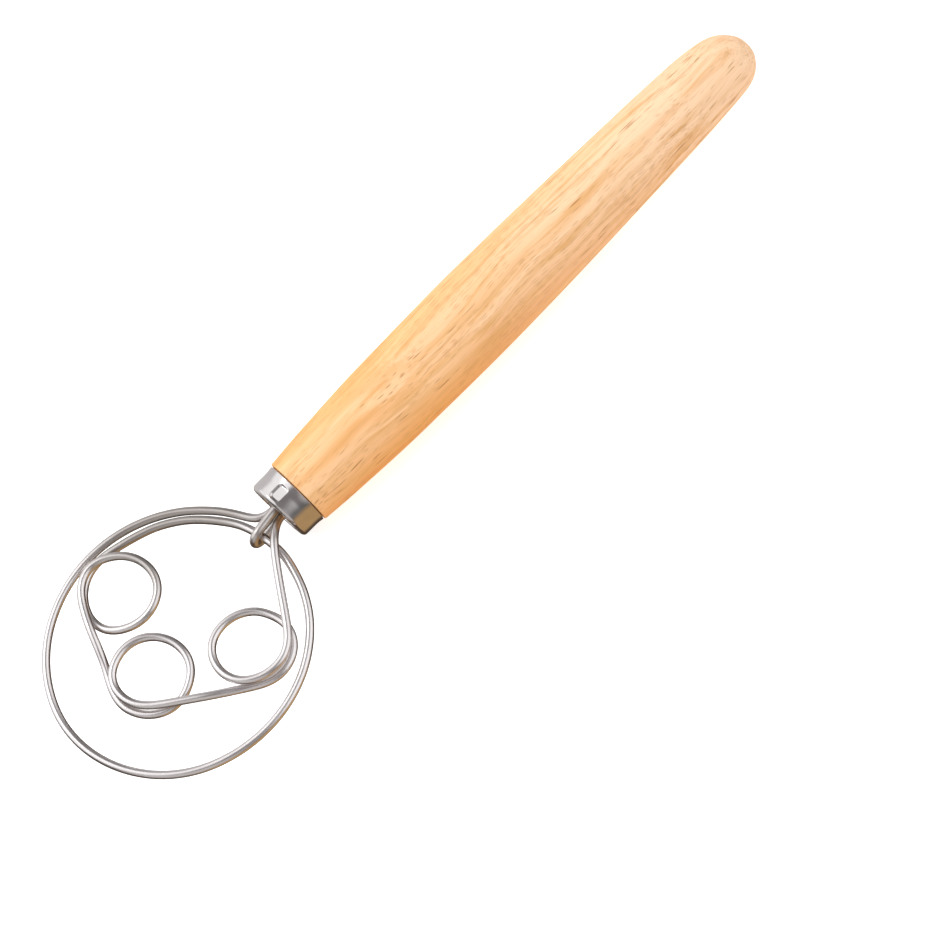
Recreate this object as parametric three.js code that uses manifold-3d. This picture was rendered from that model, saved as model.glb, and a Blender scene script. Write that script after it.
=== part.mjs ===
// Danish dough whisk: a turned wooden handle, a steel ferrule and a flat wire head.
// The head is one stainless wire that leaves the handle, makes the outer ring, crosses the neck
// through a small hook, and winds back as three eyelets to the handle. Millimetres, +Z up.
// Working axes: the handle's axis is X, x = 0 is the ferrule's front face, the head lies in z = 0.
import * as THREE from 'three';
import { mergeVertices } from 'three/addons/utils/BufferGeometryUtils.js';
import Module from 'manifold-3d';

// ---------- driving dimensions ----------
const WIRE_R = 1.5;             // wire radius, 3 mm wire
const SECTION_R = 1.52;         // corner radius of the eight-sided wire section
const HOOK_R = 1.65;            // the neck hook is a little thicker
const HOOK_SECTION_R = 1.67;
const GAP = 0.3;                // clearance between touching pieces
const CHANNEL_R = 1.84;         // channels in the plug, eight-sided like the wires
const HOOK_CHANNEL_R = 2.0;
const TAIL_END = 48;            // the wire's two tails end this deep behind the ferrule's face
const HOOK_END = 44;            // the hook's two legs end here
const FERRULE_R = 12.3;         // outside radius
const FERRULE_LENGTH = 9.7;
const FERRULE_WALL = 0.9;
const FERRULE_CORNER = 1.3;     // rolled front corner
const FERRULE_MOUTH_R = 7.6;    // opening in the turned-in lip
const TENON_R = FERRULE_R - FERRULE_WALL - GAP;
const TENON_FACE = 2.0;         // front of the wood, inside the ferrule
const BORE_R = 6.4;
const BORE_DEPTH = 56;
const PLUG_R = BORE_R - GAP;
const LATHE_SEGMENTS = 40;

// Handle outline from the shoulder to the rounded butt: [x, radius].
const HANDLE_PROFILE = [
  [11.5, 13.32], [14.9, 13.63], [21.9, 14.18], [28.8, 14.57], [35.8, 14.98], [42.7, 15.33], [53.2, 15.72],
  [63.6, 15.89], [74.0, 16.07], [84.4, 16.20], [94.9, 16.28], [105.3, 16.20], [115.7, 16.04], [126.1, 15.86],
  [136.6, 15.59], [147.0, 15.30], [157.4, 14.98], [167.8, 14.61], [178.2, 14.26], [188.7, 13.92],
  [195.6, 13.61], [202.6, 13.29], [207.4, 13.01], [211.6, 12.65], [215.8, 12.19], [219.2, 11.67],
  [222.0, 10.90], [224.8, 9.52], [226.9, 7.75], [228.6, 5.73], [229.7, 3.65], [230.2, 0.00],
];

// Centre line of the one head wire, from the end of its first tail in the bore, round the outer
// ring, through the hook, round the three eyelets, and back to the end of its second tail.
const WIRE_PATH = [
  [48, 1.76, 0], [36.95, 1.72, 0], [25.9, 1.8, 0], [14.88, 1.74, 0], [11.57, 1.69, 0], [8.25, 1.66, 0],
  [4.91, 1.66, 0], [1.54, 1.72, 0], [-1.84, 1.87, 0], [-5.32, 2.92, 0], [-7.74, 5.64, 0], [-9.31, 8.58, 0],
  [-10.89, 11.55, 0], [-12.63, 14.42, 0], [-14.54, 17.17, 0], [-21.97, 25.34, 0], [-31.34, 31.99, 0],
  [-41.97, 36.42, 0], [-52.8, 38.36, 0], [-63.81, 37.81, 0], [-74.43, 34.77, 0], [-84.12, 29.46, 0],
  [-92.3, 22.05, 0], [-98.52, 12.9, 0], [-102.39, 2.55, 0], [-103.38, -8.87, 0], [-101.41, -20.04, 0],
  [-96.77, -30.49, 0], [-89.76, -39.57, 0], [-80.77, -46.62, 0], [-70.32, -51.26, 0], [-59.02, -53.47, 0],
  [-48.01, -53.14, 0], [-37.36, -50.32, 0], [-27.7, -45.08, 0], [-19.26, -37.27, 0], [-13.7, -28.55, 0],
  [-10.66, -20.28, 0], [-8.99, -11.78, 0], [-9.57, -2.98, 0], [-11.81, 5.94, 0], [-16.3, 13.59, 0],
  [-23.43, 22.12, 0], [-32.31, 28.49, 0], [-39.95, 31.6, 0.01], [-46.36, 33.48, 0], [-52.75, 34.86, -0.02],
  [-59.07, 34.58, 0.01], [-64.05, 32.39, 0.04], [-67.36, 29.4, 0], [-69.77, 25.62, -0.04],
  [-71.02, 21.43, -0.05], [-70.73, 16.7, 0.04], [-68.75, 12.89, 0.26], [-65.43, 9.81, 0.59],
  [-61.44, 7.75, 0.97], [-57.19, 6.93, 1.34], [-52.88, 7.5, 1.68], [-48.9, 9.47, 2], [-45.93, 12.67, 2.33],
  [-44.47, 16.78, 2.68], [-44.48, 21.25, 3], [-45.58, 24.94, 3.2], [-47.58, 28.19, 3.32],
  [-50.33, 30.92, 3.37], [-53.67, 33.03, 3.36], [-57.36, 34.16, 3.33], [-61.12, 33.82, 3.34],
  [-64.57, 32.08, 3.36], [-67.33, 29.35, 3.3], [-69.43, 26.09, 3.29], [-71.45, 22.14, 3.42],
  [-73.62, 17.06, 3.4], [-76.26, 10.56, 2.17], [-78.7, 5.34, 0.33], [-81.23, 0.52, -0.07],
  [-83.34, -4.67, -0.03], [-84.03, -10.08, 0.02], [-82.82, -14.87, 0.03], [-80.06, -19.1, 0.02],
  [-76.15, -22.22, -0.02], [-71.51, -23.74, -0.04], [-66.75, -23.35, 0.03], [-62.67, -21.58, 0.26],
  [-59.07, -18.85, 0.62], [-56.71, -14.66, 1.01], [-56.17, -9.82, 1.38], [-57.31, -5, 1.75],
  [-59.97, -0.82, 2.16], [-63.45, 1.86, 2.56], [-67.07, 3.16, 2.9], [-70.9, 3.35, 3.18],
  [-74.68, 2.44, 3.34], [-78.17, 0.61, 3.37], [-80.64, -2.27, 3.35], [-81.88, -5.9, 3.33],
  [-81.95, -9.8, 3.32], [-80.93, -13.46, 3.32], [-78.62, -17.08, 3.34], [-74.61, -20.96, 3.37],
  [-70.1, -24.44, 3.37], [-60.86, -31.27, 2.84], [-55.45, -34.76, 1.68], [-51.24, -37.3, 0.62],
  [-46.99, -39.99, 0.04], [-42.6, -42.27, -0.04], [-37.85, -43.14, 0.02], [-32.95, -42.1, 0.02],
  [-28.8, -39.29, 0], [-26.2, -35.11, -0.03], [-25.52, -30.27, 0], [-26.74, -25.43, 0.17],
  [-29.01, -21.05, 0.59], [-32.71, -17.83, 1.04], [-36.87, -16.2, 1.41], [-41.31, -15.84, 1.78],
  [-45.98, -17.09, 2.21], [-49.64, -20.14, 2.67], [-51.84, -24.57, 3.05], [-52.29, -29.13, 3.25],
  [-50.93, -33.95, 3.35], [-47.81, -37.72, 3.38], [-43.51, -40.23, 3.36], [-38.64, -41.28, 3.34],
  [-33.83, -40.69, 3.31], [-29.7, -38.34, 3.33], [-26.33, -34.63, 3.36], [-23.41, -30.38, 3.37],
  [-20.39, -25.72, 3.33], [-15.64, -18.48, 3.29], [-12.86, -14.42, 3.36], [-10.91, -11.71, 3.41],
  [-8.86, -9.06, 3.27], [-6.69, -6.55, 2.76], [-4.39, -4.27, 1.81], [-1.88, -2.52, 0.76],
  [1.62, -1.76, 0.17], [4.9, -1.71, 0.05], [8.2, -1.69, -0.03], [11.5, -1.68, -0.07], [14.82, -1.68, -0.09],
  [25.9, -1.74, -0.03], [36.98, -1.79, 0.06], [47.99, -1.73, -0.03],
];
// Centre line of the neck hook: a U whose two legs sit in the bore, one above and one below.
const HOOK_PATH = [
  [44, 0, 3.5], [30, 0, 3.5], [16, 0, 3.5], [6, 0, 3.5], [0.5, -0.02, 3.5], [-4.8, -0.74, 3.5],
  [-9.61, -1.48, 3.5], [-11.34, -1.74, 3.03], [-12.6, -1.94, 1.75], [-13.07, -2.01, 0],
  [-12.6, -1.94, -1.75], [-11.34, -1.74, -3.03], [-9.61, -1.48, -3.5], [-4.8, -0.74, -3.5],
  [0.5, -0.02, -3.5], [6, 0, -3.5], [16, 0, -3.5], [30, 0, -3.5], [44, 0, -3.5],
];
// Stretches of the head wire, by distance along WIRE_PATH: [name, from, to, step].
const STRETCHES = [
  ['outer_ring', 0, 334, 3.6],
  ['side_arc', 334, 411, 3.0],
  ['eyelet_upper', 411, 527.5, 2.5],
  ['eyelet_lower', 527.5, 668, 2.5],
  ['eyelet_side', 668, 794, 2.5],
  ['straight_link', 794, Infinity, 3.0],
];

// ---------- materials ----------
const wood = new THREE.MeshStandardMaterial({ color: 0xe9bd84, roughness: 0.55, metalness: 0 });
const polished = new THREE.MeshStandardMaterial({ color: 0xc9c6c4, roughness: 0.16, metalness: 1 });
const wireSteel = new THREE.MeshStandardMaterial({ color: 0xc6c2c0, roughness: 0.22, metalness: 1 });
const resin = new THREE.MeshStandardMaterial({ color: 0x3a2a20, roughness: 0.6, metalness: 0 });

// ---------- helpers ----------
const wasm = await Module();
wasm.setup();

// Welds the vertices, drops empty triangles and turns all faces outward.
function closed(geometry) {
  const bare = geometry.index ? geometry.toNonIndexed() : geometry.clone();
  bare.deleteAttribute('normal');
  bare.deleteAttribute('uv');
  const g = mergeVertices(bare, 1e-4);
  const p = g.attributes.position;
  const from = Array.from(g.index.array);
  const index = [];
  let volume = 0;
  const a = new THREE.Vector3(), b = new THREE.Vector3(), c = new THREE.Vector3();
  for (let i = 0; i < from.length; i += 3) {
    const [i0, i1, i2] = from.slice(i, i + 3);
    if (i0 === i1 || i1 === i2 || i2 === i0) continue;
    a.fromBufferAttribute(p, i0); b.fromBufferAttribute(p, i1); c.fromBufferAttribute(p, i2);
    volume += a.dot(b.clone().cross(c)) / 6;
    index.push(i0, i1, i2);
  }
  if (volume < 0) for (let i = 0; i < index.length; i += 3) [index[i], index[i + 1]] = [index[i + 1], index[i]];
  g.setIndex(index);
  g.computeVertexNormals();
  return g;
}

// A solid of revolution about X from a closed or axis-to-axis list of [x, radius].
function turned(profile) {
  const points = profile.map(([x, r]) => new THREE.Vector2(r, x));
  const g = new THREE.LatheGeometry(points, LATHE_SEGMENTS);
  g.rotateZ(-Math.PI / 2);
  return closed(g);
}

// A round bar along a list of points.
function bar(points, radius, steps) {
  const section = new THREE.Shape();
  for (let i = 0; i < 8; i++) {
    const t = (i / 8) * Math.PI * 2;
    if (i) section.lineTo(radius * Math.cos(t), radius * Math.sin(t));
    else section.moveTo(radius, 0);
  }
  section.closePath();
  const path = new THREE.CatmullRomCurve3(points, false, 'centripetal');
  path.arcLengthDivisions = points.length * 6;
  return closed(new THREE.ExtrudeGeometry(section, { steps, bevelEnabled: false, extrudePath: path }));
}

// Dense points on the smooth curve through a path, with their distance along it.
function dense(path) {
  const curve = new THREE.CatmullRomCurve3(path.map((p) => new THREE.Vector3(...p)), false, 'centripetal');
  curve.arcLengthDivisions = path.length * 40;
  const length = curve.getLength();
  const count = Math.ceil(length / 0.5);
  const points = curve.getSpacedPoints(count);
  return { points, length, pitch: length / count };
}

function stretch(run, from, to) {
  const first = Math.max(0, from), last = Math.min(run.length, to);
  const at = (s) => {
    const k = Math.min(run.points.length - 1.000001, Math.max(0, s / run.pitch));
    const i = Math.floor(k);
    return run.points[i].clone().lerp(run.points[i + 1], k - i);
  };
  const n = Math.max(4, Math.round((last - first) / 1.2));
  return Array.from({ length: n + 1 }, (_, i) => at(first + ((last - first) * i) / n));
}

function toManifold(g) {
  return new wasm.Manifold(new wasm.Mesh({
    numProp: 3,
    vertProperties: new Float32Array(g.attributes.position.array),
    triVerts: new Uint32Array(g.index.array),
  }));
}

function fromManifold(solid) {
  const m = solid.getMesh();
  const g = new THREE.BufferGeometry();
  const xyz = new Float32Array((m.vertProperties.length / m.numProp) * 3);
  for (let i = 0; i < xyz.length / 3; i++) for (let k = 0; k < 3; k++) xyz[3 * i + k] = m.vertProperties[m.numProp * i + k];
  g.setAttribute('position', new THREE.BufferAttribute(xyz, 3));
  g.setIndex(new THREE.BufferAttribute(new Uint32Array(m.triVerts), 1));
  g.computeVertexNormals();
  return g;
}

// ---------- the pieces ----------
const whisk = new THREE.Group();
function add(name, geometry, material) {
  const mesh = new THREE.Mesh(geometry, material);
  mesh.name = name;
  whisk.add(mesh);
  return mesh;
}

// Turned handle: a blind bore in the front face, a tenon for the ferrule, a small shoulder.
add('handle', turned([
  [BORE_DEPTH, 0],
  [BORE_DEPTH, BORE_R],
  [TENON_FACE, BORE_R],
  [TENON_FACE, TENON_R - 0.8],
  [TENON_FACE + 0.8, TENON_R],
  [FERRULE_LENGTH + GAP, TENON_R],
  [FERRULE_LENGTH + GAP, 12.9],
  [FERRULE_LENGTH + GAP + 0.5, 13.2],
  ...HANDLE_PROFILE,
]), wood);

// Drawn ferrule: a cap with a rolled corner and a turned-in lip round the mouth.
const corner = [1, 2, 3].map((k) => {
  const t = (k / 4) * Math.PI / 2;
  return [FERRULE_CORNER * (1 - Math.sin(t)), FERRULE_R - FERRULE_CORNER * (1 - Math.cos(t))];
}).reverse();
const ferruleProfile = [
  [0.35, FERRULE_MOUTH_R],
  [0, FERRULE_MOUTH_R + 0.35],
  [0, FERRULE_R - FERRULE_CORNER],
  ...corner,
  [FERRULE_CORNER, FERRULE_R],
  [FERRULE_LENGTH - 0.3, FERRULE_R],
  [FERRULE_LENGTH, FERRULE_R - 0.3],
  [FERRULE_LENGTH, FERRULE_R - FERRULE_WALL],
  [FERRULE_WALL + 0.5, FERRULE_R - FERRULE_WALL],
  [FERRULE_WALL, FERRULE_R - FERRULE_WALL - 0.5],
  [FERRULE_WALL, FERRULE_MOUTH_R],
  [0.35, FERRULE_MOUTH_R],
];
add('ferrule', turned(ferruleProfile), polished);

// The head wire, stretch by stretch, with a hairline at each end so that neighbours stay clear.
const wire = dense(WIRE_PATH);
for (const [name, from, to, step] of STRETCHES) {
  const points = stretch(wire, from + (from > 0 ? GAP / 2 : 0), to === Infinity ? to : to - GAP / 2);
  const length = Math.min(wire.length, to) - from;
  add(name, bar(points, SECTION_R, Math.round(length / step)), wireSteel);
}

// Neck hook.
const hook = dense(HOOK_PATH);
add('neck_hook', bar(stretch(hook, 0, Infinity), HOOK_SECTION_R, Math.round(hook.length / 2.4)), wireSteel);

// Resin plug that holds the four wire ends in the bore.
let plug = toManifold(turned([
  [TENON_FACE, 0], [TENON_FACE, PLUG_R - 0.4], [TENON_FACE + 0.4, PLUG_R],
  [BORE_DEPTH - GAP, PLUG_R], [BORE_DEPTH - GAP, 0],
]));
const tails = [
  [[TAIL_END + GAP, 1.75, 0], [14, 1.75, 0], [5, 1.72, 0], [1.6, 1.71, 0], [0.2, 1.72, 0]],
  [[TAIL_END + GAP, -1.75, 0], [14, -1.74, -0.03], [7.2, -1.7, 0], [3.9, -1.68, 0.04], [0.6, -1.74, 0.2]],
  [[HOOK_END + GAP, 0, 3.5], [14, 0, 3.5], [0.2, -0.02, 3.5]],
  [[HOOK_END + GAP, 0, -3.5], [14, 0, -3.5], [0.2, -0.02, -3.5]],
];
tails.forEach((tail, i) => {
  const points = tail.map((p) => new THREE.Vector3(...p));
  plug = plug.subtract(toManifold(bar(points, i < 2 ? CHANNEL_R : HOOK_CHANNEL_R, 10)));
});
add('resin_plug', closed(fromManifold(plug)), resin);

// Origin: centre of the object's footprint, at its lowest point.
whisk.updateMatrixWorld(true);
const box = new THREE.Box3().setFromObject(whisk, true);
const middle = box.getCenter(new THREE.Vector3());
whisk.position.set(-middle.x, -middle.y, -box.min.z);

export default whisk;
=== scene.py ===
# Danish dough whisk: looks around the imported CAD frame. Metres, same frame as the CAD.
import math

import bmesh
import bpy
import numpy as np
from mathutils import Matrix, Vector


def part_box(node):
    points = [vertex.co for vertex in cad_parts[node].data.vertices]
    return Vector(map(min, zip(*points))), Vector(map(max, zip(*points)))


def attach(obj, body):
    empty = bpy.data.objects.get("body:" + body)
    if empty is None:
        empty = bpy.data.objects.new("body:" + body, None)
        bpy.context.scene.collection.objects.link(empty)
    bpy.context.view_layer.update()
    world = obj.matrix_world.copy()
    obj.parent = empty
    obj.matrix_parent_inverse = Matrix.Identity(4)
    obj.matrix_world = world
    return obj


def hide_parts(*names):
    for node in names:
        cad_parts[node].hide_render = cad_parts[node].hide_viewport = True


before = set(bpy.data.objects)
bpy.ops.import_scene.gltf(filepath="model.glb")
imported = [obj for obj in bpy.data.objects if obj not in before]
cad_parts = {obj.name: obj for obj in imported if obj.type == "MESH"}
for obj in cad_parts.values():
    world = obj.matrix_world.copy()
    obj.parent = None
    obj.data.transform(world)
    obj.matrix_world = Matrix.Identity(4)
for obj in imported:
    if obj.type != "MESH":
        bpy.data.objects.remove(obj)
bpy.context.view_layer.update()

# The design's own origin: on the handle's axis, in the ferrule's front face.
_lo, _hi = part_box("ferrule")
ORIGIN = Vector((_lo[0], (_lo[1] + _hi[1]) / 2, (_lo[2] + _hi[2]) / 2))

# ---------- sizes, in millimetres from that origin ----------
WIRE_R = 1.5
HOOK_R = 1.65
FERRULE_R = 12.3
FERRULE_LENGTH = 9.7
FERRULE_WALL = 0.9
FERRULE_CORNER = 1.6
MOUTH_R = 7.6
TENON_R = 11.1
TENON_FACE = 2.0
BORE_R = 6.4
BORE_DEPTH = 56.0

HANDLE_PROFILE = [
    (11.5, 13.32), (14.9, 13.63), (21.9, 14.18), (28.8, 14.57), (35.8, 14.98), (42.7, 15.33), (53.2, 15.72),
    (63.6, 15.89), (74, 16.07), (84.4, 16.2), (94.9, 16.28), (105.3, 16.2), (115.7, 16.04), (126.1, 15.86),
    (136.6, 15.59), (147, 15.3), (157.4, 14.98), (167.8, 14.61), (178.2, 14.26), (188.7, 13.92),
    (195.6, 13.61), (202.6, 13.29), (207.4, 13.01), (211.6, 12.65), (215.8, 12.19), (219.2, 11.67),
    (222, 10.9), (224.8, 9.52), (226.9, 7.75), (228.6, 5.73), (229.7, 3.65), (230.2, 0),
]

# Centre line of the head wire, tail to tail, and of the neck hook.
WIRE_PATH = [
    (48, 1.76, 0), (36.95, 1.72, 0), (25.9, 1.8, 0), (14.88, 1.74, 0), (11.57, 1.69, 0), (8.25, 1.66, 0),
    (4.91, 1.66, 0), (1.54, 1.72, 0), (-1.84, 1.87, 0), (-5.32, 2.92, 0), (-7.74, 5.64, 0), (-9.31, 8.58, 0),
    (-10.89, 11.55, 0), (-12.63, 14.42, 0), (-14.54, 17.17, 0), (-21.97, 25.34, 0), (-31.34, 31.99, 0),
    (-41.97, 36.42, 0), (-52.8, 38.36, 0), (-63.81, 37.81, 0), (-74.43, 34.77, 0), (-84.12, 29.46, 0),
    (-92.3, 22.05, 0), (-98.52, 12.9, 0), (-102.39, 2.55, 0), (-103.38, -8.87, 0), (-101.41, -20.04, 0),
    (-96.77, -30.49, 0), (-89.76, -39.57, 0), (-80.77, -46.62, 0), (-70.32, -51.26, 0), (-59.02, -53.47, 0),
    (-48.01, -53.14, 0), (-37.36, -50.32, 0), (-27.7, -45.08, 0), (-19.26, -37.27, 0), (-13.7, -28.55, 0),
    (-10.66, -20.28, 0), (-8.99, -11.78, 0), (-9.57, -2.98, 0), (-11.81, 5.94, 0), (-16.3, 13.59, 0),
    (-23.43, 22.12, 0), (-32.31, 28.49, 0), (-39.95, 31.6, 0.01), (-46.36, 33.48, 0), (-52.75, 34.86, -0.02),
    (-59.07, 34.58, 0.01), (-64.05, 32.39, 0.04), (-67.36, 29.4, 0), (-69.77, 25.62, -0.04),
    (-71.02, 21.43, -0.05), (-70.73, 16.7, 0.04), (-68.75, 12.89, 0.26), (-65.43, 9.81, 0.59),
    (-61.44, 7.75, 0.97), (-57.19, 6.93, 1.34), (-52.88, 7.5, 1.68), (-48.9, 9.47, 2), (-45.93, 12.67, 2.33),
    (-44.47, 16.78, 2.68), (-44.48, 21.25, 3), (-45.58, 24.94, 3.2), (-47.58, 28.19, 3.32),
    (-50.33, 30.92, 3.37), (-53.67, 33.03, 3.36), (-57.36, 34.16, 3.33), (-61.12, 33.82, 3.34),
    (-64.57, 32.08, 3.36), (-67.33, 29.35, 3.3), (-69.43, 26.09, 3.29), (-71.45, 22.14, 3.42),
    (-73.62, 17.06, 3.4), (-76.26, 10.56, 2.17), (-78.7, 5.34, 0.33), (-81.23, 0.52, -0.07),
    (-83.34, -4.67, -0.03), (-84.03, -10.08, 0.02), (-82.82, -14.87, 0.03), (-80.06, -19.1, 0.02),
    (-76.15, -22.22, -0.02), (-71.51, -23.74, -0.04), (-66.75, -23.35, 0.03), (-62.67, -21.58, 0.26),
    (-59.07, -18.85, 0.62), (-56.71, -14.66, 1.01), (-56.17, -9.82, 1.38), (-57.31, -5, 1.75),
    (-59.97, -0.82, 2.16), (-63.45, 1.86, 2.56), (-67.07, 3.16, 2.9), (-70.9, 3.35, 3.18),
    (-74.68, 2.44, 3.34), (-78.17, 0.61, 3.37), (-80.64, -2.27, 3.35), (-81.88, -5.9, 3.33),
    (-81.95, -9.8, 3.32), (-80.93, -13.46, 3.32), (-78.62, -17.08, 3.34), (-74.61, -20.96, 3.37),
    (-70.1, -24.44, 3.37), (-60.86, -31.27, 2.84), (-55.45, -34.76, 1.68), (-51.24, -37.3, 0.62),
    (-46.99, -39.99, 0.04), (-42.6, -42.27, -0.04), (-37.85, -43.14, 0.02), (-32.95, -42.1, 0.02),
    (-28.8, -39.29, 0), (-26.2, -35.11, -0.03), (-25.52, -30.27, 0), (-26.74, -25.43, 0.17),
    (-29.01, -21.05, 0.59), (-32.71, -17.83, 1.04), (-36.87, -16.2, 1.41), (-41.31, -15.84, 1.78),
    (-45.98, -17.09, 2.21), (-49.64, -20.14, 2.67), (-51.84, -24.57, 3.05), (-52.29, -29.13, 3.25),
    (-50.93, -33.95, 3.35), (-47.81, -37.72, 3.38), (-43.51, -40.23, 3.36), (-38.64, -41.28, 3.34),
    (-33.83, -40.69, 3.31), (-29.7, -38.34, 3.33), (-26.33, -34.63, 3.36), (-23.41, -30.38, 3.37),
    (-20.39, -25.72, 3.33), (-15.64, -18.48, 3.29), (-12.86, -14.42, 3.36), (-10.91, -11.71, 3.41),
    (-8.86, -9.06, 3.27), (-6.69, -6.55, 2.76), (-4.39, -4.27, 1.81), (-1.88, -2.52, 0.76),
    (1.62, -1.76, 0.17), (4.9, -1.71, 0.05), (8.2, -1.69, -0.03), (11.5, -1.68, -0.07), (14.82, -1.68, -0.09),
    (25.9, -1.74, -0.03), (36.98, -1.79, 0.06), (47.99, -1.73, -0.03),
]
HOOK_PATH = [
    (44, 0, 3.5), (30, 0, 3.5), (16, 0, 3.5), (6, 0, 3.5), (0.5, -0.02, 3.5), (-4.8, -0.74, 3.5),
    (-9.61, -1.48, 3.5), (-11.34, -1.74, 3.03), (-12.6, -1.94, 1.75), (-13.07, -2.01, 0),
    (-12.6, -1.94, -1.75), (-11.34, -1.74, -3.03), (-9.61, -1.48, -3.5), (-4.8, -0.74, -3.5),
    (0.5, -0.02, -3.5), (6, 0, -3.5), (16, 0, -3.5), (30, 0, -3.5), (44, 0, -3.5),
]

# Camera: place in millimetres from the same origin, and its axes.
CAMERA_AT = (-51.08, -569.65, 1248.9)
CAMERA_RIGHT = (0.701473, -0.675631, -0.226813)
CAMERA_UP = (0.708354, 0.625923, 0.326252)
CAMERA_BACK = (-0.078459, -0.389521, 0.917654)
LENS = 153.35


def at(p):
    """A point of the design, in metres of the frame."""
    return ORIGIN + Vector((float(p[0]), float(p[1]), float(p[2]))) / 1000


# ---------- camera ----------
cam_data = bpy.data.cameras.new("camera")
cam_data.lens = LENS
cam_data.sensor_width = 36
cam_data.sensor_fit = "HORIZONTAL"
cam_data.clip_start = 0.01
cam_data.clip_end = 20
cam = bpy.data.objects.new("camera", cam_data)
bpy.context.scene.collection.objects.link(cam)
_m = Matrix((CAMERA_RIGHT, CAMERA_UP, CAMERA_BACK)).transposed().to_4x4()
_m.translation = at(CAMERA_AT)
cam.matrix_world = _m
bpy.context.scene.camera = cam


# ---------- curves ----------
def catmull(points, per=24):
    """Centripetal Catmull-Rom through the points."""
    p = np.array(points, float)
    p = np.vstack([2 * p[0] - p[1], p, 2 * p[-1] - p[-2]])
    out = []
    for i in range(1, len(p) - 2):
        p0, p1, p2, p3 = p[i - 1 : i + 3]
        t0 = 0.0
        t1 = t0 + math.sqrt(np.linalg.norm(p1 - p0))
        t2 = t1 + math.sqrt(np.linalg.norm(p2 - p1))
        t3 = t2 + math.sqrt(np.linalg.norm(p3 - p2))
        for t in np.linspace(t1, t2, per, endpoint=False):
            a1 = (t1 - t) / (t1 - t0) * p0 + (t - t0) / (t1 - t0) * p1
            a2 = (t2 - t) / (t2 - t1) * p1 + (t - t1) / (t2 - t1) * p2
            a3 = (t3 - t) / (t3 - t2) * p2 + (t - t2) / (t3 - t2) * p3
            b1 = (t2 - t) / (t2 - t0) * a1 + (t - t0) / (t2 - t0) * a2
            b2 = (t3 - t) / (t3 - t1) * a2 + (t - t1) / (t3 - t1) * a3
            out.append((t2 - t) / (t2 - t1) * b1 + (t - t1) / (t2 - t1) * b2)
    out.append(p[-2])
    return np.array(out)


def resample(points, pitch):
    d = np.r_[0, np.cumsum(np.linalg.norm(np.diff(points, axis=0), axis=1))]
    n = max(2, int(round(d[-1] / pitch)))
    s = np.linspace(0, d[-1], n + 1)
    return np.stack([np.interp(s, d, points[:, k]) for k in range(3)], 1)


def relaxed(points, sigma, pitch):
    """Gaussian smoothing along the curve, with the ends held."""
    half = int(math.ceil(3 * sigma / pitch))
    k = np.exp(-0.5 * (np.arange(-half, half + 1) * pitch / sigma) ** 2)
    k /= k.sum()
    a = 2 * points[0] - points[1 : half + 1][::-1]
    b = 2 * points[-1] - points[-half - 1 : -1][::-1]
    q = np.vstack([a, points, b])
    return np.stack([np.convolve(q[:, i], k, "valid") for i in range(3)], 1)


def frames(points):
    """Tangents and twist-free normals along the points."""
    t = np.gradient(points, axis=0)
    t /= np.linalg.norm(t, axis=1)[:, None]
    n = np.zeros_like(points)
    seed = np.array([0.0, 0.0, 1.0])
    n[0] = seed - t[0] * (seed @ t[0])
    n[0] /= np.linalg.norm(n[0])
    for i in range(1, len(points)):
        v = n[i - 1] - t[i] * (n[i - 1] @ t[i])
        n[i] = v / np.linalg.norm(v)
    return t, n, np.cross(t, n)


def make(name, verts, faces, smooth=True):
    me = bpy.data.meshes.new(name)
    me.from_pydata([tuple(at(v)) for v in verts], [], faces)
    me.validate()
    bm = bmesh.new()
    bm.from_mesh(me)
    bmesh.ops.recalc_face_normals(bm, faces=bm.faces)
    bm.to_mesh(me)
    bm.free()
    if smooth:
        me.polygons.foreach_set("use_smooth", [True] * len(me.polygons))
    ob = bpy.data.objects.new(name, me)
    bpy.context.scene.collection.objects.link(ob)
    return ob


def bar(name, points, radius, sides=20):
    """A round wire along the points, with slightly rounded cut ends."""
    t, n, b = frames(points)
    verts, faces, along = [], [], []
    run = np.r_[0, np.cumsum(np.linalg.norm(np.diff(points, axis=0), axis=1))]
    # the two end faces get a small edge radius: (distance from the end, share of the radius)
    ends = [(0.0, 0.84), (0.06, 0.94), (0.2, 1.0)]
    rings = [(points[0] + t[0] * d, n[0], b[0], radius * f, run[0] + d) for d, f in ends]
    rings += [(points[i], n[i], b[i], radius, run[i]) for i in range(1, len(points) - 1)]
    rings += [(points[-1] - t[-1] * d, n[-1], b[-1], radius * f, run[-1] - d) for d, f in reversed(ends)]
    ang = np.linspace(0, 2 * math.pi, sides, endpoint=False)
    for c, nn, bb, r, s in rings:
        for a in ang:
            verts.append(c + r * (math.cos(a) * nn + math.sin(a) * bb))
            along.append((s, a / (2 * math.pi)))
    for i in range(len(rings) - 1):
        for j in range(sides):
            k = (j + 1) % sides
            faces.append((i * sides + j, i * sides + k, (i + 1) * sides + k, (i + 1) * sides + j))
    faces.append(tuple(range(sides))[::-1])
    last = (len(rings) - 1) * sides
    faces.append(tuple(range(last, last + sides)))
    ob = make(name, verts, faces)
    att = ob.data.attributes.new("run", "FLOAT_VECTOR", "POINT")
    flat = []
    for s, u in along:
        # distance along the wire, and a seamless position round it, in millimetres
        flat += [s, math.cos(2 * math.pi * u) * radius, math.sin(2 * math.pi * u) * radius]
    att.data.foreach_set("vector", flat)
    return ob


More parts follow.
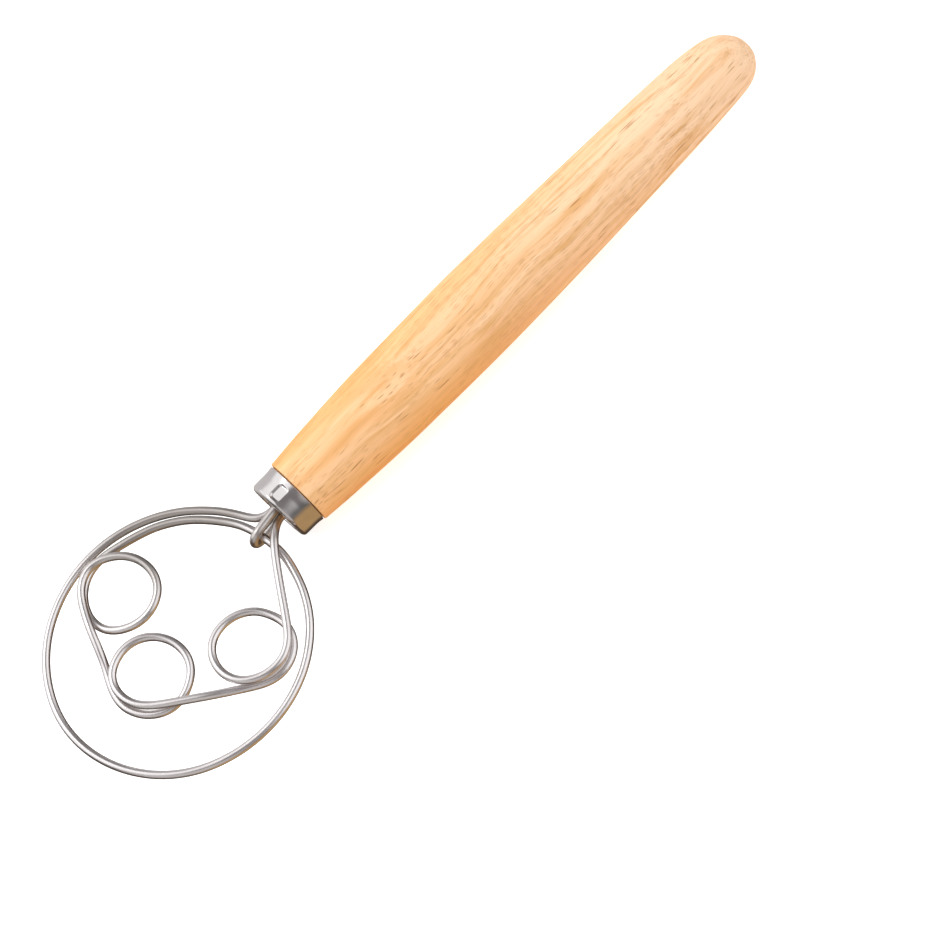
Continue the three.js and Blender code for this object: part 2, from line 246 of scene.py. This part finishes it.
def turned(name, profile, segments, shape=None):
    """A solid of revolution about X from a list of (x, radius); shape moves each point in or out."""
    verts, faces, rows = [], [], []
    for x, r in profile:
        if r < 1e-6:
            rows.append([len(verts)])
            verts.append((x, 0.0, 0.0))
            continue
        row = []
        for j in range(segments):
            a = 2 * math.pi * j / segments
            rr = r if shape is None else shape(x, r, a)
            row.append(len(verts))
            verts.append((x, rr * math.sin(a), rr * math.cos(a)))
        rows.append(row)
    loop = len(profile) > 2 and profile[0][1] > 1e-6 and profile[-1][1] > 1e-6
    pairs = list(zip(rows, rows[1:])) + ([(rows[-1], rows[0])] if loop else [])
    for a, b in pairs:
        if len(a) == 1 and len(b) == 1:
            continue
        for j in range(segments):
            k = (j + 1) % segments
            if len(a) == 1:
                faces.append((a[0], b[k], b[j]))
            elif len(b) == 1:
                faces.append((a[j], a[k], b[0]))
            else:
                faces.append((a[j], a[k], b[k], b[j]))
    return make(name, verts, faces)


def arc(cx, cr, radius, start, stop, steps):
    """Points of a rounded corner in (x, radius), angles in degrees from +x towards +radius."""
    return [
        (cx + radius * math.cos(math.radians(start + (stop - start) * i / steps)),
         cr + radius * math.sin(math.radians(start + (stop - start) * i / steps)))
        for i in range(steps + 1)
    ]


def spread(profile, pitch):
    """Adds points on the straight stretches of a profile."""
    out = [profile[0]]
    for (x0, r0), (x1, r1) in zip(profile, profile[1:]):
        n = max(1, int(math.hypot(x1 - x0, r1 - r0) / pitch))
        out += [(x0 + (x1 - x0) * i / n, r0 + (r1 - r0) * i / n) for i in range(1, n + 1)]
    return out


# ---------- node helpers ----------
def material(name):
    m = bpy.data.materials.new(name)
    m.use_nodes = True
    nt = m.node_tree
    nt.nodes.clear()
    out = nt.nodes.new("ShaderNodeOutputMaterial")
    bsdf = nt.nodes.new("ShaderNodeBsdfPrincipled")
    nt.links.new(bsdf.outputs["BSDF"], out.inputs["Surface"])
    return m, nt, bsdf


def node(nt, kind, inputs=None, **props):
    n = nt.nodes.new(kind)
    for k, v in props.items():
        setattr(n, k, v)
    for k, v in (inputs or {}).items():
        if isinstance(v, bpy.types.NodeSocket):
            nt.links.new(v, n.inputs[k])
        else:
            n.inputs[k].default_value = v
    return n


def math_node(nt, op, a, b=None, clamp=False):
    n = nt.nodes.new("ShaderNodeMath")
    n.operation = op
    n.use_clamp = clamp
    for i, v in enumerate((a, b)):
        if v is None:
            continue
        if isinstance(v, bpy.types.NodeSocket):
            nt.links.new(v, n.inputs[i])
        else:
            n.inputs[i].default_value = v
    return n.outputs[0]


def stretched(nt, source, scale, offset=(0, 0, 0)):
    n = node(nt, "ShaderNodeMapping", {"Vector": source, "Scale": scale, "Location": offset})
    return n.outputs[0]


def noise(nt, vec, scale=1.0, detail=3.0, rough=0.5, distortion=0.0):
    n = node(nt, "ShaderNodeTexNoise", {"Vector": vec, "Scale": scale, "Detail": detail, "Roughness": rough, "Distortion": distortion})
    return n.outputs["Fac"]


def ramp(nt, fac, stops, mode="LINEAR"):
    n = nt.nodes.new("ShaderNodeValToRGB")
    nt.links.new(fac, n.inputs[0])
    cr = n.color_ramp
    cr.interpolation = mode
    while len(cr.elements) < len(stops):
        cr.elements.new(0.5)
    for e, (pos, col) in zip(cr.elements, stops):
        e.position = pos
        e.color = (*col, 1) if len(col) == 3 else col
    return n.outputs["Color"]


def remap(nt, v, a, b, c, d):
    n = node(nt, "ShaderNodeMapRange", {"Value": v, "From Min": a, "From Max": b, "To Min": c, "To Max": d})
    return n.outputs["Result"]


def mix(nt, fac, a, b, blend="MIX"):
    n = nt.nodes.new("ShaderNodeMix")
    n.data_type = "RGBA"
    n.blend_type = blend
    for sock, v in ((n.inputs[0], fac), (n.inputs[6], a), (n.inputs[7], b)):
        if isinstance(v, bpy.types.NodeSocket):
            nt.links.new(v, sock)
        else:
            sock.default_value = v if not isinstance(v, tuple) or len(v) == 4 else (*v, 1)
    return n.outputs[2]


def grey(v):
    return (v, v, v)


# ---------- wood ----------
WOOD_DEEP = (0.830, 0.425, 0.170)
WOOD_MID = (0.905, 0.530, 0.255)
WOOD_PALE = (0.945, 0.610, 0.335)
WOOD_PINK = (0.945, 0.590, 0.365)
# across the grain, from the upper-left side of the handle to the lower-right one as the camera sees them, and its value
# on the handle's axis: the direction of the painted shade on the wood
SHADE_AXIS = (0.0, -0.92, -0.39)
SHADE_ZERO = -0.92 * ORIGIN.y - 0.39 * ORIGIN.z


def wood_material():
    m, nt, bsdf = material("rubberwood")
    obj = node(nt, "ShaderNodeTexCoord").outputs["Object"]

    def wander(vec, scale, amount):
        drift = node(nt, "ShaderNodeTexNoise", {"Vector": stretched(nt, obj, scale), "Scale": 1.0, "Detail": 1.0}).outputs["Color"]
        centred = node(nt, "ShaderNodeVectorMath", {0: drift, 1: (0.5, 0.5, 0.5)}, operation="SUBTRACT").outputs[0]
        shift = node(nt, "ShaderNodeVectorMath", {0: centred, "Scale": amount}, operation="SCALE").outputs[0]
        return node(nt, "ShaderNodeVectorMath", {0: vec, 1: shift}, operation="ADD").outputs[0]

    # the grain runs along the handle, drifts across it and is a little curly in the middle
    pos = wander(wander(obj, (9, 14, 14), 0.009), (34, 75, 75), 0.0036)

    # growth rings of a log whose heart lies well below the handle and is slightly tilted to it
    ring_pos = stretched(nt, pos, (0.16, 1, 1), (0, 0.016, 0.052))
    length = node(nt, "ShaderNodeVectorMath", {0: ring_pos}, operation="LENGTH").outputs["Value"]
    ring_noise = noise(nt, stretched(nt, pos, (9, 70, 70)), 1.0, 2.0)
    phase = math_node(nt, "ADD", math_node(nt, "MULTIPLY", length, 1500.0), math_node(nt, "MULTIPLY", ring_noise, 8.0))
    rings = math_node(nt, "MULTIPLY_ADD", math_node(nt, "SINE", phase), 0.5)
    rings.node.inputs[2].default_value = 0.5

    broad = noise(nt, stretched(nt, pos, (7, 95, 95)), 1.0, 2.0, 0.55)
    streak = noise(nt, stretched(nt, pos, (20, 360, 360), (3, 1, 2)), 1.0, 3.0, 0.62)
    fine = noise(nt, stretched(nt, pos, (60, 1500, 1500), (1, 5, 2)), 1.0, 2.0, 0.6)
    patch = noise(nt, stretched(nt, obj, (14, 40, 40), (7, 3, 1)), 1.0, 2.0, 0.5)

    base = ramp(nt, broad, [(0.30, WOOD_DEEP), (0.45, WOOD_MID), (0.57, WOOD_PALE), (0.72, WOOD_MID)])
    tone = mix(nt, remap(nt, patch, 0.42, 0.66, 0.0, 0.45), base, WOOD_PINK)
    # painted shade on the two flanks: the lower-right side, turned away from the key light, darker and redder, the
    # upper-left edge more saturated; paler towards the butt
    spot = node(nt, "ShaderNodeSeparateXYZ", {0: obj})
    flank = node(nt, "ShaderNodeVectorMath", {0: obj, 1: SHADE_AXIS}, operation="DOT_PRODUCT").outputs["Value"]
    flank = math_node(nt, "SUBTRACT", flank, SHADE_ZERO)
    warped = math_node(nt, "ADD", flank, math_node(nt, "MULTIPLY", math_node(nt, "SUBTRACT", broad, 0.5), 0.008))
    # painted shade: the lower-right side darkened and reddened
    tone = mix(nt, remap(nt, warped, 0.005, 0.0135, 0.0, 1.0), tone, mix(nt, 1.0, tone, (0.89, 0.65, 0.33), "MULTIPLY"))
    # painted shade: the upper-left edge made more saturated and a little darker
    tone = mix(nt, remap(nt, warped, -0.007, -0.0140, 0.0, 0.9), tone, mix(nt, 1.0, tone, (0.98, 0.84, 0.56), "MULTIPLY"))
    tone = mix(nt, remap(nt, spot.outputs[0], 0.00, 0.14, 0.0, 0.58), tone, (0.970, 0.725, 0.510))
    calm = remap(nt, spot.outputs[0], 0.130, 0.162, 1.0, 0.40)
    tone = mix(nt, math_node(nt, "MULTIPLY", calm, remap(nt, rings, 0.35, 1.0, 0.0, 0.27)), tone, (0.700, 0.345, 0.095))
    tone = mix(nt, math_node(nt, "MULTIPLY", calm, remap(nt, streak, 0.49, 0.68, 0.0, 0.62)), tone, (0.690, 0.330, 0.085))
    tone = mix(nt, remap(nt, fine, 0.50, 0.78, 0.0, 0.26), tone, (0.520, 0.265, 0.110))

    # open pores: short dark dashes along the grain, gathered in loose bands
    def dashes(scale, offset, gather, few, many, most, soft):
        cell = node(nt, "ShaderNodeTexVoronoi", {"Vector": stretched(nt, pos, scale, offset), "Scale": 1.0, "Randomness": 1.0}, feature="F1", distance="EUCLIDEAN")
        pick = node(nt, "ShaderNodeSeparateColor", {"Color": cell.outputs["Color"]}).outputs[0]
        over = math_node(nt, "SUBTRACT", pick, remap(nt, gather, 0.38, 0.62, few, many))
        size = math_node(nt, "MULTIPLY", math_node(nt, "MULTIPLY", over, 5.0, clamp=True), most)
        return remap(nt, math_node(nt, "SUBTRACT", size, cell.outputs["Distance"]), -0.02, soft, 0.0, 1.0)

    gather = noise(nt, stretched(nt, pos, (16, 90, 90), (2, 8, 4)), 1.0, 2.0)
    gather2 = noise(nt, stretched(nt, pos, (24, 140, 140), (6, 2, 9)), 1.0, 2.0)
    pores = dashes((120, 1750, 1750), (0, 0, 0), gather, 0.985, 0.70, 0.60, 0.32)
    small = dashes((230, 2600, 2600), (4, 4, 9), gather2, 0.85, 0.45, 0.52, 0.20)
    thread = noise(nt, stretched(nt, pos, (11, 760, 760), (5, 5, 1)), 1.0, 2.0, 0.55)
    thread = math_node(nt, "MULTIPLY", remap(nt, thread, 0.56, 0.68, 0.0, 1.0), remap(nt, gather2, 0.42, 0.60, 0.15, 1.0))
    tone = mix(nt, math_node(nt, "MULTIPLY", thread, 0.36), tone, (0.560, 0.270, 0.090))
    # the pores close up on the sanded butt
    small = math_node(nt, "MULTIPLY", small, remap(nt, spot.outputs[0], 0.150, 0.165, 1.0, 0.35))
    pores = math_node(nt, "MULTIPLY", pores, remap(nt, spot.outputs[0], 0.150, 0.165, 1.0, 0.45))
    tone = mix(nt, math_node(nt, "MULTIPLY", small, 0.36), tone, (0.470, 0.200, 0.055))
    tone = mix(nt, math_node(nt, "MULTIPLY", pores, 0.60), tone, (0.330, 0.110, 0.015))
    nt.links.new(tone, bsdf.inputs["Base Color"])

    rough = remap(nt, streak, 0.3, 0.8, 0.46, 0.60)
    rough = math_node(nt, "ADD", rough, math_node(nt, "MULTIPLY", pores, 0.2))
    nt.links.new(rough, bsdf.inputs["Roughness"])
    bsdf.inputs["Specular IOR Level"].default_value = 0.22
    height = math_node(nt, "SUBTRACT", math_node(nt, "MULTIPLY", fine, 0.25), math_node(nt, "ADD", math_node(nt, "MULTIPLY", pores, 1.0), math_node(nt, "MULTIPLY", small, 0.4)))
    bump = node(nt, "ShaderNodeBump", {"Height": height, "Strength": 0.35, "Distance": 0.00018})
    nt.links.new(bump.outputs[0], bsdf.inputs["Normal"])
    return m


# ---------- steel ----------
def wire_material():
    m, nt, bsdf = material("stainless_wire")
    run = node(nt, "ShaderNodeAttribute", attribute_name="run").outputs["Vector"]
    obj = node(nt, "ShaderNodeTexCoord").outputs["Object"]
    # faint lines from the drawing die, running along the wire, and a soft cloudiness
    lines = noise(nt, stretched(nt, run, (0.035, 5.5, 5.5)), 1.0, 3.0, 0.6)
    cloud = noise(nt, stretched(nt, run, (0.09, 0.5, 0.5), (3, 1, 1)), 1.0, 3.0, 0.55)
    specks = noise(nt, obj, 2600.0, 2.0, 0.5)
    tint = ramp(nt, cloud, [(0.30, (0.800, 0.770, 0.765)), (0.55, (0.880, 0.855, 0.850)), (0.75, (0.840, 0.825, 0.830))])
    tint = mix(nt, remap(nt, lines, 0.45, 0.8, 0.0, 0.22), tint, (0.56, 0.54, 0.53))
    # painted shade: the hook, and the head wire near the neck and on its +Y side within some 66 mm of it, are darkened
    # towards dark brown where the wires crowd and shade each other; the same mask also makes them a little rougher
    shade_and_dull = node(nt, "ShaderNodeAttribute", attribute_name="shade_and_dull").outputs["Fac"]
    tint = mix(nt, shade_and_dull, tint, (0.36, 0.325, 0.28))
    nt.links.new(tint, bsdf.inputs["Base Color"])
    bsdf.inputs["Metallic"].default_value = 1.0
    rough = math_node(nt, "ADD", remap(nt, cloud, 0.3, 0.75, 0.20, 0.28), math_node(nt, "MULTIPLY", lines, 0.06))
    rough = math_node(nt, "ADD", rough, math_node(nt, "MULTIPLY", shade_and_dull, 0.08))
    nt.links.new(rough, bsdf.inputs["Roughness"])
    height = math_node(nt, "ADD", math_node(nt, "MULTIPLY", lines, 0.8), math_node(nt, "MULTIPLY", specks, 0.2))
    bump = node(nt, "ShaderNodeBump", {"Height": height, "Strength": 0.10, "Distance": 0.00005})
    nt.links.new(bump.outputs[0], bsdf.inputs["Normal"])
    return m


def ferrule_material():
    m, nt, bsdf = material("polished_ferrule")
    obj = node(nt, "ShaderNodeTexCoord").outputs["Object"]
    # turning lines round the cap are finest across X
    turns = noise(nt, stretched(nt, obj, (5200, 60, 60)), 1.0, 2.0, 0.6)
    cloud = noise(nt, stretched(nt, obj, (120, 120, 120), (1, 4, 2)), 1.0, 3.0, 0.5)
    rubs = noise(nt, stretched(nt, obj, (300, 2400, 2400), (6, 1, 3)), 1.0, 3.0, 0.65)
    tint = ramp(nt, cloud, [(0.30, (0.680, 0.660, 0.650)), (0.60, (0.760, 0.740, 0.735)), (0.80, (0.720, 0.705, 0.705))])
    nt.links.new(tint, bsdf.inputs["Base Color"])
    bsdf.inputs["Metallic"].default_value = 1.0
    rough = math_node(nt, "ADD", remap(nt, cloud, 0.3, 0.8, 0.10, 0.17), remap(nt, rubs, 0.5, 0.8, 0.0, 0.12))
    nt.links.new(rough, bsdf.inputs["Roughness"])
    bump = node(nt, "ShaderNodeBump", {"Height": turns, "Strength": 0.05, "Distance": 0.00004})
    nt.links.new(bump.outputs[0], bsdf.inputs["Normal"])
    return m


def resin_material():
    m, nt, bsdf = material("set_resin")
    obj = node(nt, "ShaderNodeTexCoord").outputs["Object"]
    blotch = noise(nt, stretched(nt, obj, (500, 500, 500)), 1.0, 4.0, 0.6)
    tint = ramp(nt, blotch, [(0.3, (0.030, 0.018, 0.012)), (0.7, (0.085, 0.050, 0.030))])
    nt.links.new(tint, bsdf.inputs["Base Color"])
    nt.links.new(remap(nt, blotch, 0.3, 0.7, 0.35, 0.6), bsdf.inputs["Roughness"])
    bump = node(nt, "ShaderNodeBump", {"Height": blotch, "Strength": 0.5, "Distance": 0.0003})
    nt.links.new(bump.outputs[0], bsdf.inputs["Normal"])
    return m


WOOD = wood_material()
WIRE = wire_material()
FERRULE = ferrule_material()
RESIN = resin_material()


def dress(ob, mat, slot, *nodes):
    ob.data.materials.clear()
    ob.data.materials.append(mat)
    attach(ob, "root")
    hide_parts(*nodes)
    return ob


# ---------- the head wire: one unbroken piece over its six CAD stretches ----------
PITCH = 0.8
line = relaxed(resample(catmull(WIRE_PATH), PITCH), 1.7, PITCH)
head_wire = bar("head_wire", line, WIRE_R, sides=24)
dress(head_wire, WIRE, "wire_steel", "outer_ring", "side_arc", "eyelet_upper", "eyelet_lower", "eyelet_side", "straight_link")

# painted shade on the head wire: darker near the neck and on its +Y side close behind it, where the wires crowd
shade_and_dull_attr = head_wire.data.attributes.new("shade_and_dull", "FLOAT", "POINT")
_neck = at((0, 0, 0)).x
_shade_and_dull = []
for v in head_wire.data.vertices:
    near = min(1.0, max(0.0, 1 - ((_neck - v.co.x) * 1000 - 5) / 12))
    top = min(1.0, max(0.0, ((v.co.y - ORIGIN.y) * 1000 - 4) / 9)) * min(1.0, max(0.0, (_neck - v.co.x) * 1000 / 10))
    side = min(1.0, max(0.0, 1 - ((_neck - v.co.x) * 1000 - 40) / 26))
    _shade_and_dull.append(min(0.62, 0.34 * near * near + 0.66 * top * side))
shade_and_dull_attr.data.foreach_set("value", _shade_and_dull)

hook_line = relaxed(resample(catmull(HOOK_PATH), 0.4), 0.8, 0.4)
hook = bar("neck_hook_wire", hook_line, HOOK_R, sides=24)
# painted shade on the hook: darkened all along, and a little rougher
shade_and_dull_attr = hook.data.attributes.new("shade_and_dull", "FLOAT", "POINT")
shade_and_dull_attr.data.foreach_set("value", [0.40] * len(hook.data.vertices))
dress(hook, WIRE, "wire_steel", "neck_hook")

# ---------- ferrule: drawn cap with a turned-in lip and two staking dimples ----------
MID = FERRULE_LENGTH / 2 + 0.25
STAKE = 4.7


def staked(x, r, a):
    if r < FERRULE_R - 0.5 or x < FERRULE_CORNER or x > FERRULE_LENGTH - 0.15:
        return r
    # a hair of barrel, and the rear edge rolled out a little where it meets the wood
    r -= 0.05 * ((x - MID) / 4.2) ** 2
    r += 0.46 * max(0.0, (x - 5.6) / 4.1) ** 2
    for centre in (math.radians(-3.5), math.radians(176.5)):
        d = (a - centre + math.pi) % (2 * math.pi) - math.pi
        # a rounded rectangle with a flat floor: how far inside its edge
        u, v = abs(x - STAKE) - 1.5, abs(d) * FERRULE_R - 0.8
        inside = 1.60 - math.hypot(max(u, 0.0), max(v, 0.0))
        if inside > 0:
            t = min(1.0, inside / 0.75)
            t = t * t * (3 - 2 * t)
            # the floor is flat and leans a little towards +Y
            lean = math.tan(math.radians(8)) * d * FERRULE_R
            r += ((FERRULE_R - 0.50 - lean) / math.cos(d) - r) * t
    return r


outer = arc(FERRULE_CORNER, FERRULE_R - FERRULE_CORNER, FERRULE_CORNER, 180, 90, 10)
wall = spread([outer[-1], (FERRULE_LENGTH - 0.3, FERRULE_R)], 0.16)
profile = (
    arc(0.35, MOUTH_R + 0.35, 0.35, 270, 180, 5)
    + spread([(0.0, MOUTH_R + 0.5), (0.0, FERRULE_R - FERRULE_CORNER - 0.15)], 0.6)
    + outer + wall[1:]
    + arc(FERRULE_LENGTH - 0.3, FERRULE_R - 0.3, 0.3, 72, 0, 4)
    + [(FERRULE_LENGTH, FERRULE_R - FERRULE_WALL + 0.1), (FERRULE_LENGTH - 0.1, FERRULE_R - FERRULE_WALL)]
    + spread([(FERRULE_LENGTH - 0.2, FERRULE_R - FERRULE_WALL), (FERRULE_WALL + 0.6, FERRULE_R - FERRULE_WALL)], 1.5)
    + arc(FERRULE_WALL + 0.5, FERRULE_R - FERRULE_WALL - 0.5, 0.5, 90, 180, 5)
    + [(FERRULE_WALL, MOUTH_R + 1.5), (FERRULE_WALL, MOUTH_R + 0.12), (FERRULE_WALL - 0.12, MOUTH_R)]
)
ferrule = turned("ferrule_cap", profile, 420, staked)
# pressed on a little crooked: its front leans forward on the +Y side
for v in ferrule.data.vertices:
    x = (v.co.x - ORIGIN.x) * 1000
    across = (v.co.y - ORIGIN.y) * 0.92 + (v.co.z - ORIGIN.z) * 0.39
    v.co.x -= 0.040 * across * max(0.0, 1 - x / FERRULE_LENGTH)
dress(ferrule, FERRULE, "ferrule_steel", "ferrule")

# ---------- handle: turned, sanded, very slightly uneven ----------
curve = catmull([(x, r, 0) for x, r in HANDLE_PROFILE], 10)
belly = [(float(p[0]), max(0.0, float(p[1]))) for p in curve]
belly[-1] = (belly[-1][0], 0.0)
kept = [belly[0]]
for p in belly[1:]:
    if math.hypot(p[0] - kept[-1][0], p[1] - kept[-1][1]) > 0.45 or p is belly[-1]:
        kept.append(p)
front = FERRULE_LENGTH + 0.3


def uneven(x, r, a):
    if x < front + 0.6 or r < 3:
        return r
    return r * (1 - 0.0016 * (1 + math.sin(2 * a + x * 0.021)) - 0.0010 * (1 + math.sin(x * 0.055 + 1.0)))


wood_profile = (
    [(BORE_DEPTH, 0.0), (BORE_DEPTH, BORE_R), (TENON_FACE + 0.3, BORE_R), (TENON_FACE, BORE_R + 0.3)]
    + [(TENON_FACE, TENON_R - 0.8), (TENON_FACE + 0.25, TENON_R - 0.3), (TENON_FACE + 0.8, TENON_R)]
    + [(front - 0.02, TENON_R), (front, TENON_R + 0.05), (front, 12.6)]
    + arc(front + 0.45, 12.75, 0.45, 170, 100, 4)
    + kept
)
handle = turned("turned_handle", wood_profile, 160, uneven)
# the butt was rounded by hand, a little to one side
for v in handle.data.vertices:
    k = max(0.0, (v.co.x - at((208, 0, 0)).x) / 0.022)
    v.co.y -= 0.0011 * min(1.0, k) ** 1.5
dress(handle, WOOD, "wood", "handle")

# ---------- the plug keeps its CAD shape ----------
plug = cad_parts["resin_plug"]
plug.data.materials.clear()
plug.data.materials.append(RESIN)

# ---------- floor, cards and light ----------
def flat(name, centre, size, normal, colour, rough=0.6, camera=True):
    me = bpy.data.meshes.new(name)
    sx, sy = size[0] / 2, size[1] / 2
    me.from_pydata([(-sx, -sy, 0), (sx, -sy, 0), (sx, sy, 0), (-sx, sy, 0)], [], [(0, 1, 2, 3)])
    ob = bpy.data.objects.new(name, me)
    bpy.context.scene.collection.objects.link(ob)
    ob.matrix_world = Matrix.Translation(Vector(centre)) @ Vector(normal).to_track_quat("Z", "Y").to_matrix().to_4x4()
    m, nt, bsdf = material(name + "_paint")
    bsdf.inputs["Base Color"].default_value = (*colour, 1)
    bsdf.inputs["Roughness"].default_value = rough
    bsdf.inputs["Specular IOR Level"].default_value = 0.1
    ob.data.materials.append(m)
    ob.visible_camera = camera
    return ob


floor = flat("floor", (0, 0, -0.0002), (6, 6), (0, 0, 1), (0.93, 0.93, 0.93), 0.9)
floor.visible_glossy = False
# the floor glows a little: painted light that fills the shadows on it and lights the handle from below
_paint = floor.data.materials[0].node_tree.nodes["Principled BSDF"]
_paint.inputs["Emission Color"].default_value = (0.95, 0.98, 1, 1)
_paint.inputs["Emission Strength"].default_value = 0.60

world = bpy.data.worlds.new("studio")
bpy.context.scene.world = world
world.use_nodes = True
wt = world.node_tree
wt.nodes.clear()
wout = wt.nodes.new("ShaderNodeOutputWorld")
bg = wt.nodes.new("ShaderNodeBackground")
wt.links.new(bg.outputs[0], wout.inputs[0])
direction = node(wt, "ShaderNodeTexCoord").outputs["Generated"]


def towards(azimuth, elevation):
    a, e = math.radians(azimuth), math.radians(elevation)
    v = (math.cos(e) * math.cos(a), math.cos(e) * math.sin(a), math.sin(e))
    return node(wt, "ShaderNodeVectorMath", {0: direction, 1: v}, operation="DOT_PRODUCT").outputs["Value"]


def card(sky, azimuth, elevation, start, full, colour, amount=1.0):
    """A soft-edged card: starts where the cosine passes start, is complete at full."""
    n = node(wt, "ShaderNodeMapRange", {"Value": towards(azimuth, elevation), "From Min": start, "From Max": full, "To Min": 0.0, "To Max": amount}, interpolation_type="SMOOTHSTEP")
    return mix(wt, n.outputs["Result"], sky, colour)


sky = ramp(wt, remap(wt, towards(0, 90), -1.0, 1.0, 0.0, 1.0), [
    (0.00, (0.10, 0.068, 0.048)), (0.44, (0.09, 0.064, 0.050)), (0.52, grey(0.09)), (0.66, grey(0.15)), (0.85, (0.225, 0.205, 0.208)), (1.00, (0.235, 0.215, 0.218))], "EASE")
sky = card(sky, -90, -28, 0.66, 0.90, (0.57, 0.36, 0.165), 0.9)
sky = card(sky, 95, -12, 0.50, 0.84, (0.74, 0.71, 0.71), 0.9)
sky = card(sky, -143, 26, 0.76, 0.92, (0.66, 0.63, 0.62), 0.85)
sky = card(sky, -36, 33, 0.70, 0.87, (1.10, 1.08, 1.09))
sky = card(sky, 125, 42, 0.69, 0.86, (1.14, 1.12, 1.13))
wt.links.new(sky, bg.inputs["Color"])
bg.inputs["Strength"].default_value = 1.0


def area(name, place, target, size, power, colour=(1, 1, 1)):
    d = bpy.data.lights.new(name, "AREA")
    d.shape = "RECTANGLE"
    d.size, d.size_y = size
    d.energy = power
    d.color = colour
    ob = bpy.data.objects.new(name, d)
    bpy.context.scene.collection.objects.link(ob)
    v = Vector(place) - Vector(target)
    ob.matrix_world = Matrix.Translation(Vector(place)) @ v.to_track_quat("Z", "Y").to_matrix().to_4x4()
    return ob


key = area("key", (-0.25, 0.50, 1.55), (0, 0, 0.02), (1.8, 1.8), 20.0)
key.visible_glossy = False
side = area("side", (-0.42, 0.66, 0.95), (0, 0, 0.02), (0.35, 0.25), 1.0)

view = bpy.context.scene.view_settings
view.view_transform = "Standard"
